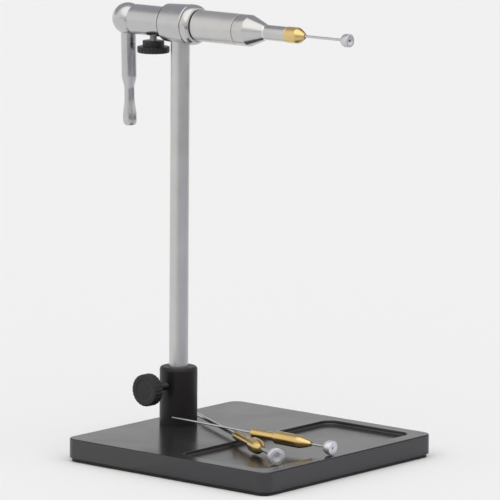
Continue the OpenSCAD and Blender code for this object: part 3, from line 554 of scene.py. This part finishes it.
# %% Boss
centre, straight_up = (0, 0, 0), (0, 0, 1)
boss_r, boss_top = 9.525, 41.15
socket_r, socket_floor = 4.8125, 17.35
boss = turned("stem_socket_boss", [
    (top, 0, 0), (top, boss_r, 0), (boss_top, boss_r, 1.8), (boss_top, socket_r, 0.3),
    (socket_floor, socket_r, 0), (socket_floor, 0, 0)], centre, straight_up, columns=128, steps=9)
stand_for(boss, "stem_boss", boss_black)

# %% Stem
stem_r, stem_top = 4.7625, 207.80
stem = turned("stem_rod", [
    (socket_floor, 0, 0), (socket_floor, stem_r, 0.6), (stem_top, stem_r, 0.6), (stem_top, 0, 0)],
    centre, straight_up)
stand_for(stem, "stem", drawn)

# %% [markdown]
# ## Thumb screws
#
# Two black knobs clamp the stem and the spindle. Each is a hub under a wider flange whose rim has
# twenty-four shallow flutes for the fingers. Cutting flutes with booleans gives ragged normals, so
# the rim's radius is simply made smaller where a flute is. The screw between knob and boss is a rod
# whose radius follows the thread as it winds.

# %% Flutes and threads
thread_r, hub_r, flange_r, hub_len = 2.0, 5.45, 8.1, 3.0
flutes, columns_per_flute = 24, 16


def fluted(rim, hub_end, flute=0.8, deep=0.2):
    """A flute is a circle of radius flute, centred at c = rim - deep + flute. Along the angle w from it,
    the circle's near side is at c cos w - sqrt(flute^2 - c^2 sin^2 w), and the rim stays below that."""
    def radius(s, r, w):
        off = (w + np.pi / flutes) % (2 * np.pi / flutes) - np.pi / flutes
        c = rim - deep + flute
        inside = np.clip(flute ** 2 - (c * np.sin(off)) ** 2, 0, None)
        bite = np.where(inside > 0, np.clip(rim - (c * np.cos(off) - np.sqrt(inside)), 0, None), 0)
        share = np.clip((r - (rim - 1.6)) / 0.8, 0, 1) * (s > hub_end - 0.3)
        return r - bite * share
    return radius


def threaded(pitch=0.7, deep=0.3):
    """The thread's phase is distance / pitch - angle / full turn; its depth is a triangle wave of it,
    and it fades out on the end faces."""
    def radius(s, r, w):
        phase = (s / pitch - w / (2 * np.pi)) % 1
        ridge = np.clip(np.abs(2 * phase - 1) * 1.25 - 0.12, 0, 1)
        return r - deep * ridge * (r > 0.95 * thread_r)
    return radius


def thumb_screw(names, nodes, origin, axis, reach, flange_len, steel, tip_end=2.25, grip=4.0):
    """A knob and its screw on one axis. Distances run from the pressure tip at 0, the knob starts at
    reach, and the screw goes on into it by grip. The knob's face has a shallow dish."""
    flange, screw_end = reach + hub_len, reach + grip
    end = flange + flange_len
    dish, dish_r = 0.25, 5.5
    knob = turned(names[0], [
        (screw_end, 0, 0), (screw_end, thread_r, 0), (reach, thread_r, 0.15), (reach, hub_r, 0.45),
        (flange, hub_r, 0.2), (flange, flange_r, 0.35), (end, flange_r, 0.9), (end, dish_r, 0.25),
        (end - dish, dish_r - 0.5, 0.3), (end - dish, 0, 0)],
        origin, axis, columns=flutes * columns_per_flute, radius=fluted(flange_r, flange))
    stand_for(knob, nodes[0], knob_black)
    run = [(s, thread_r, 0) for s in np.arange(tip_end, screw_end, 0.07)]
    screw = turned(names[1], [(tip_end, 0, 0), *run, (screw_end, thread_r, 0), (screw_end, 0, 0)],
                   origin, axis, columns=48, radius=threaded())
    stand_for(screw, nodes[1], steel)


# %% Place both thumb screws
head_z = 214.15
thumb_screw(("base_thumb_knob", "base_thumb_screw"), ("clamp_knob", "clamp_screw"),
            (0, -socket_r, 32.15), (0, -1, 0), reach=13.3125, flange_len=5.3, steel=screw_steel_painted_dark)
thumb_screw(("head_thumb_knob", "head_thumb_screw"), ("lock_knob", "lock_screw"),
            (-17.7, 0, head_z - 4.05), (0, 0, -1), reach=5.8, flange_len=3.2, steel=screw_steel)

# %% [markdown]
# ## The head
#
# The head is a row of turned rings on one axis: a tube that carries the lock screw, a thick body over
# the stem, a domed cap and a black washer. Each is a closed loop of rows, out along the outside and
# back through the bore, so that every ring has a real thickness when the light catches its edge.

# %% Tube and body
on_axis, along_x = (0, 0, head_z), (1, 0, 0)
shim_rear, tube_rear, body_rear, spigot_end, body_front, cap_front, washer_front = (
    -29.75, -29.3, -8.2, -5.2, 7.5, 12.0, 12.5)
spindle_hole, bush_r, tube_bore, spigot_r, tube_r = 4.05, 4.3, 5.2, 6.6, 7.6
shoulder_r, body_rear_r, body_front_r, cap_front_r = 8.8, 9.5, 10.15, 8.15
seam_r = body_front_r - 0.5
curve = np.linspace(0, np.pi / 2, 9)


def crown(x0, r0, x1, r1):
    """A quarter of an ellipse from (x0, r0), where it is level, to (x1, r1)."""
    return [(x0 + (x1 - x0) * math.sin(a), r1 + (r0 - r1) * math.cos(a), 0) for a in curve]


tube = turned("lock_screw_tube", [
    (tube_rear, tube_bore, 0.1), (tube_rear, tube_r, 0.3), (body_rear - 0.4, tube_r, 0),
    (body_rear, tube_r, 0, -1), (body_rear, spigot_r, 0, -1), (spigot_end, spigot_r, 0),
    (spigot_end, tube_bore, 0)], on_axis, along_x, columns=112, loop=True)
stand_for(tube, "rear_tube", aluminium)
# The point 0.2 mm inside the body's long face keeps that face's shading apart from the shoulder's.
# The shoulder's rows are all marked as seam, so the whole shoulder is painted dark as shade.
shoulder = [(x, r, 0, -1) for x, r, _ in crown(body_rear + 1, body_rear_r, body_rear, shoulder_r)[:0:-1]]
body = turned("head_ring", [
    (body_rear, spigot_r, 0, -1), *shoulder, (body_rear + 1, body_rear_r, 0),
    (body_rear + 1.2, body_rear_r + 0.008, 0), (body_front - 0.5, body_front_r, 0),
    (body_front - 0.2, body_front_r - 0.3, 0), (body_front, seam_r, 0, -1), (body_front, bush_r, 0),
    (spigot_end, bush_r, 0), (spigot_end, spigot_r, 0)], on_axis, along_x, columns=128, loop=True)
stand_for(body, "head_body", aluminium)

# %% Cap, washer and shim
washer_r, shim_r = 7.45, 5.5
cap = turned("domed_cap", [
    (body_front, bush_r, 0), (body_front, seam_r, 0, -1), (body_front + 0.2, seam_r + 0.2, 0),
    *crown(body_front + 0.5, body_front_r, cap_front, cap_front_r), (cap_front, bush_r, 0)],
    on_axis, along_x, columns=128, loop=True)
stand_for(cap, "front_cap", polished)
washer = turned("thrust_ring", [
    (cap_front, spindle_hole, 0), (cap_front, washer_r, 0.1), (washer_front, washer_r, 0.1),
    (washer_front, spindle_hole, 0)], on_axis, along_x, columns=112, loop=True)
stand_for(washer, "thrust_washer", washer_black)
shim = turned("rear_shim", [
    (shim_rear, spindle_hole, 0), (shim_rear, shim_r, 0.08), (tube_rear, shim_r, 0.08),
    (tube_rear, spindle_hole, 0)], on_axis, along_x, loop=True)
stand_for(shim, "rear_washer", screw_steel)

# %% [markdown]
# ## The crank
#
# A ball with one flat side sits on the spindle's rear end, and a turned handle hangs from it. A ball
# from Blender's own menu has no flat and no bore, so the profile goes round the ball from its pole to
# the flat and then into the bore. The handle narrows to a waist, swells again and ends in a dome.

# %% Ball
spindle_r = 4.0
ball_x, ball_r, ball_flat, ball_bore_end = -34.6, 8.0, 4.8, -36.6
flat_r = math.sqrt(ball_r ** 2 - ball_flat ** 2)
sweep = np.linspace(math.pi, math.acos(ball_flat / ball_r), 40)
round_part = [(ball_x + ball_r * math.cos(a), ball_r * math.sin(a), 0) for a in sweep[1:-1]]
ball = turned("crank_ball", [
    (ball_x - ball_r, 0, 0), *round_part, (ball_x + ball_flat, flat_r, 0, -1),
    (ball_x + ball_flat, spindle_r, 0), (ball_bore_end, spindle_r, 0), (ball_bore_end, 0, 0)],
    on_axis, along_x, columns=112)
stand_for(ball, "crank_hub", aluminium)


# %% Handle
def ease(x0, r0, x1, r1, count=12):
    """A soft S from one radius to the next: r0 + (r1 - r0)(1 - cos(180 t)) / 2."""
    t = np.linspace(0, 1, count)
    return [(x0 + (x1 - x0) * k, r0 + (r1 - r0) * (1 - math.cos(math.pi * k)) / 2, 0) for k in t]


swing = math.radians(1.8)
in_ball, taper, waist, waist_end, swell, dome, handle_end = 4.4, 28.62, 35.5, 39.51, 50.62, 50.97, 54.2
grip_r, waist_r, swell_r, end_r = 3.75, 2.525, 3.5, 2.03
handle = turned("crank_grip", [
    (in_ball, 0, 0), (in_ball, grip_r, 0), *ease(taper, grip_r, waist, waist_r),
    *ease(waist_end, waist_r, swell, swell_r), *crown(dome, swell_r, handle_end, end_r),
    (handle_end, 0, 0)],
    (ball_x, 0, head_z), (0, math.sin(swing), -math.cos(swing)))
stand_for(handle, "crank_handle", satin)

# %% [markdown]
# ## Barrel and sleeve
#
# In front of the head a barrel turns with the crank, and a sleeve with a long nose screws onto it to
# close the split jaws. They meet in a fine line. The cone catches the brightest highlight of the
# photograph, so its metal is polished.

# %% Barrel
barrel_rear, spindle_front, barrel_front, cone_start, jaw_end = 12.55, 25.55, 39.0, 46.25, 53.85
barrel_r, screw_r, jaw_r, jaw_tip_r, collet_hole = 7.8, 5.8, 4.6, 3.1, 2.25
barrel = turned("spindle_barrel", [
    (barrel_rear, spindle_r, 0), (barrel_rear, barrel_r, 0.35), (barrel_front, barrel_r, 0.2),
    (barrel_front, screw_r, 0, -1), (cone_start, screw_r, 0), (cone_start, jaw_r, 0),
    (jaw_end, jaw_tip_r, 0), (jaw_end, collet_hole, 0), (spindle_front, collet_hole, 0),
    (spindle_front, spindle_r, 0)], on_axis, along_x, columns=112, loop=True)
stand_for(barrel, "barrel", blasted)

# %% Sleeve with its nose
sleeve_rear, sleeve_curve, nose_start, nose_end = 39.35, 42.8, 55.95, 69.15
sleeve_r, cone_r, nose_r = 7.85, 7.6, 3.75
# The sleeve's bores clear the barrel's thread and jaws by 0.05 mm round them and by gap in front.
screw_bore, jaw_bore, tip_bore, gap = 5.85, 4.65, 3.15, 0.2
sleeve = turned("long_nosed_sleeve", [
    (sleeve_rear, screw_bore, 0), (sleeve_rear, sleeve_r, 0.2),
    *crown(sleeve_curve, sleeve_r, cone_start, cone_r), (nose_start, nose_r, 0.6), (nose_end, nose_r, 0.25),
    (nose_end, collet_hole, 0.1), (jaw_end + gap, collet_hole, 0), (jaw_end + gap, tip_bore, 0),
    (cone_start + gap, jaw_bore, 0), (cone_start + gap, screw_bore, 0)],
    on_axis, along_x, columns=112, loop=True)
stand_for(sleeve, "nose_sleeve", polished)

# %% [markdown]
# ## Collets, pins and flared knobs
#
# A mandrel is a brass collet with a steel pin through it and a flared knob on the pin's front end.
# There are three in different sizes: one fitted, two lying on the base. They are the same shapes with
# other numbers, so each is drawn once as a function along its own axis, and a saw makes its slots.

# %% Saw cuts
def saw(piece, origin, axis, start, end, half_height, half_width=0.2):
    """Two thin slots at right angles, each the difference of the piece and a thin box along the axis."""
    a, side, other = frame_of(axis)
    corners = np.array([(x, y, z) for x in (start, end) for y in (-1, 1) for z in (-1, 1)], float)
    box = [(0, 1, 3, 2), (4, 6, 7, 5), (0, 4, 5, 1), (2, 3, 7, 6), (0, 2, 6, 4), (1, 5, 7, 3)]
    for thin, tall in ((side, other), (other, side)):
        spread = corners[:, 1:2] * half_width * thin + corners[:, 2:] * half_height * tall
        mesh = bpy.data.meshes.new("saw_blade")
        mesh.from_pydata(((np.array(origin) + corners[:, :1] * a + spread) * 0.001).tolist(), [], box)
        blade = bpy.data.objects.new("saw_blade", mesh)
        bpy.context.scene.collection.objects.link(blade)
        cut = piece.modifiers.new("cut", "BOOLEAN")
        cut.object, cut.operation, cut.solver = blade, "DIFFERENCE", "EXACT"
        sawn = bpy.data.meshes.new_from_object(piece.evaluated_get(bpy.context.evaluated_depsgraph_get()))
        piece.modifiers.clear()
        piece.data = sawn
        bpy.data.objects.remove(blade)
    piece.data.set_sharp_from_angle(angle=math.radians(38))


# %% One mandrel
# Every tail has the same radius, because the same jaws take all three. A pin has play in its collet.
tail_r, knob_len, pin_start, play = 2.2, 5.0, 1.6, 0.05


def ogive(x0, r0, x1, r1, power=1.35):
    """A cone that bulges a little: r0 + (r1 - r0) t^power."""
    return [(x0 + (x1 - x0) * t, r0 + (r1 - r0) * t ** power, 0) for t in np.linspace(0, 1, 12)]


def mandrel(label, nodes, face, axis, pin_r, pin_len, out, collet_sizes, knob_r, steel):
    """Distances run from the knob's face at 0 back along -axis, and out is the bare pin between knob and
    collet. collet_sizes is the head's radius and the lengths of cone, head and tail."""
    away = -np.array(axis, float)
    head_r, cone, head_len, tail_len = collet_sizes
    tip = knob_len + out
    base, rear, end = tip + cone, tip + cone + head_len, tip + cone + head_len + tail_len
    hole = pin_r + play
    collet = turned(label + "_collet", [
        (tip, hole, 0.1), *ogive(base, head_r, tip, hole + 0.6)[::-1], (rear, head_r, 0.5),
        (rear, tail_r, 0, -1), (end, tail_r, 0.2), (end, hole, 0)], face, away, loop=True)
    saw(collet, face, away, tip - 1, base + 3, head_r + 1)
    saw(collet, face, away, end - tail_len * 0.6, end + 1, tail_r + 1)
    stand_for(collet, nodes[0], brass)
    pin = turned(label + "_pin", [
        (pin_start, 0, 0), (pin_start, pin_r, 0.1), (pin_len, pin_r, 0.2), (pin_len, 0, 0)],
        face, away, columns=40)
    stand_for(pin, nodes[1], pin_wire)
    flare = crown(2.2, knob_r, knob_len, pin_r + 0.2)
    knob = turned(label + "_flared_knob", [
        (knob_len, pin_r, 0), *flare[::-1], (0, knob_r, 0.3), (0, knob_r * 0.6, 0.3),
        (0.2, knob_r * 0.34, 0.1), (0.25, pin_r, 0.05)], face, away, loop=True)
    stand_for(knob, nodes[2], steel)


# %% The fitted one
mandrel("fitted", ("collet", "mandrel_pin", "pin_knob"), (108.1, 0, head_z), along_x,
        pin_r=0.65, pin_len=116, out=23.1, collet_sizes=(3.95, 4.4, 6.4, 24), knob_r=3.25,
        steel=worn_steel_with_painted_shade)


# %% The two spares
def heading(axis_turn, tilt):
    """The direction of +X after it is tilted down about Y and then turned about Z."""
    t, d = math.radians(axis_turn), math.radians(tilt)
    return (math.cos(t) * math.cos(d), math.sin(t) * math.cos(d), -math.sin(d))


# The angles are the CAD model's: each spare lies as in the photograph and rests on what is under it.
mandrel("thick_spare", ("spare_a_collet", "spare_a_pin", "spare_a_knob"), (97.5, -40.0, 14.0),
        heading(-29.214001, 0.108713), pin_r=0.95, pin_len=116, out=16.0,
        collet_sizes=(3.7, 5.0, 5.6, 24), knob_r=4.1, steel=steel_painted_bright)
mandrel("thin_spare", ("spare_b_collet", "spare_b_pin", "spare_b_knob"), (108.6, -10.4, 15.4),
        heading(2.445824, 1.544240), pin_r=0.55, pin_len=100, out=8.3,
        collet_sizes=(3.25, 7.7, 14, 14.4), knob_r=3.5, steel=steel_painted_bright)

# %% [markdown]
# ## Hidden pieces
#
# Bushes, tips, screws and the spindle are inside, and some show only when the vise moves. Their CAD
# solids have the right shape already, so they stay and get a finish of their own. They carry no UV
# map, so these materials read the object's coordinates only.

# %% Finishes for the carried-over solids
def machined(name, colour, rough, grain_mm, spread):
    """Colour and roughness both follow one noise in space, grain_mm across."""
    material, tree = blank(name)
    where = add(tree, "TexCoord")
    grain = add(tree, "TexNoise", {
        "Vector": where.outputs["Object"], "Scale": 1000 / grain_mm, "Detail": 4.0})
    tone = add(tree, "MapRange", {0: grain.outputs[0], 1: 0.3, 2: 0.7, 3: 1 - spread, 4: 1 + spread})
    paint = add(tree, "VectorMath", {0: linear(colour)[:3], "Scale": tone.outputs[0]}, operation="SCALE")
    dull = add(tree, "MapRange", {0: grain.outputs[0], 1: 0.3, 2: 0.7, 3: rough - 0.06, 4: rough + 0.08})
    relief = add(tree, "Bump", {"Height": grain.outputs[0], "Distance": 0.00001, "Strength": 1.0})
    metal = add(tree, "BsdfPrincipled", {
        "Base Color": paint.outputs[0], "Metallic": 1.0, "Roughness": dull.outputs[0],
        "Normal": relief.outputs[0]})
    add(tree, "OutputMaterial", {"Surface": metal.outputs[0]})
    return material


# Sintered bronze: brown, open pores about 0.3 mm apart.
bronze = machined("sintered_bronze", "#9a7648", rough=0.42, grain_mm=0.3, spread=0.16)
# Blackened high-tensile screws.
screw_black = machined("blackened_screw_steel", "#4c4b4d", rough=0.4, grain_mm=0.5, spread=0.1)
# Ground spindle steel.
ground = machined("ground_spindle_steel", "#b4b5b8", rough=0.24, grain_mm=0.6, spread=0.04)
# Brass pressure tips, dulled where they press.
tip_brass = machined("dulled_brass", "#b8924a", rough=0.36, grain_mm=0.5, spread=0.08)
inside = {"rear_bush": bronze, "front_bush": bronze, "boss_bolt": screw_black, "stem_screw": screw_black,
          "crank_set_screw": screw_black, "spindle": ground, "clamp_tip": tip_brass, "lock_tip": tip_brass}
for node, finish in inside.items():
    solid = frame["nodes"][node]
    solid.data.materials.clear()
    solid.data.materials.append(finish)
    print(node, finish.name)

# %% Colour view
bpy.context.scene.view_settings.view_transform = "Standard"
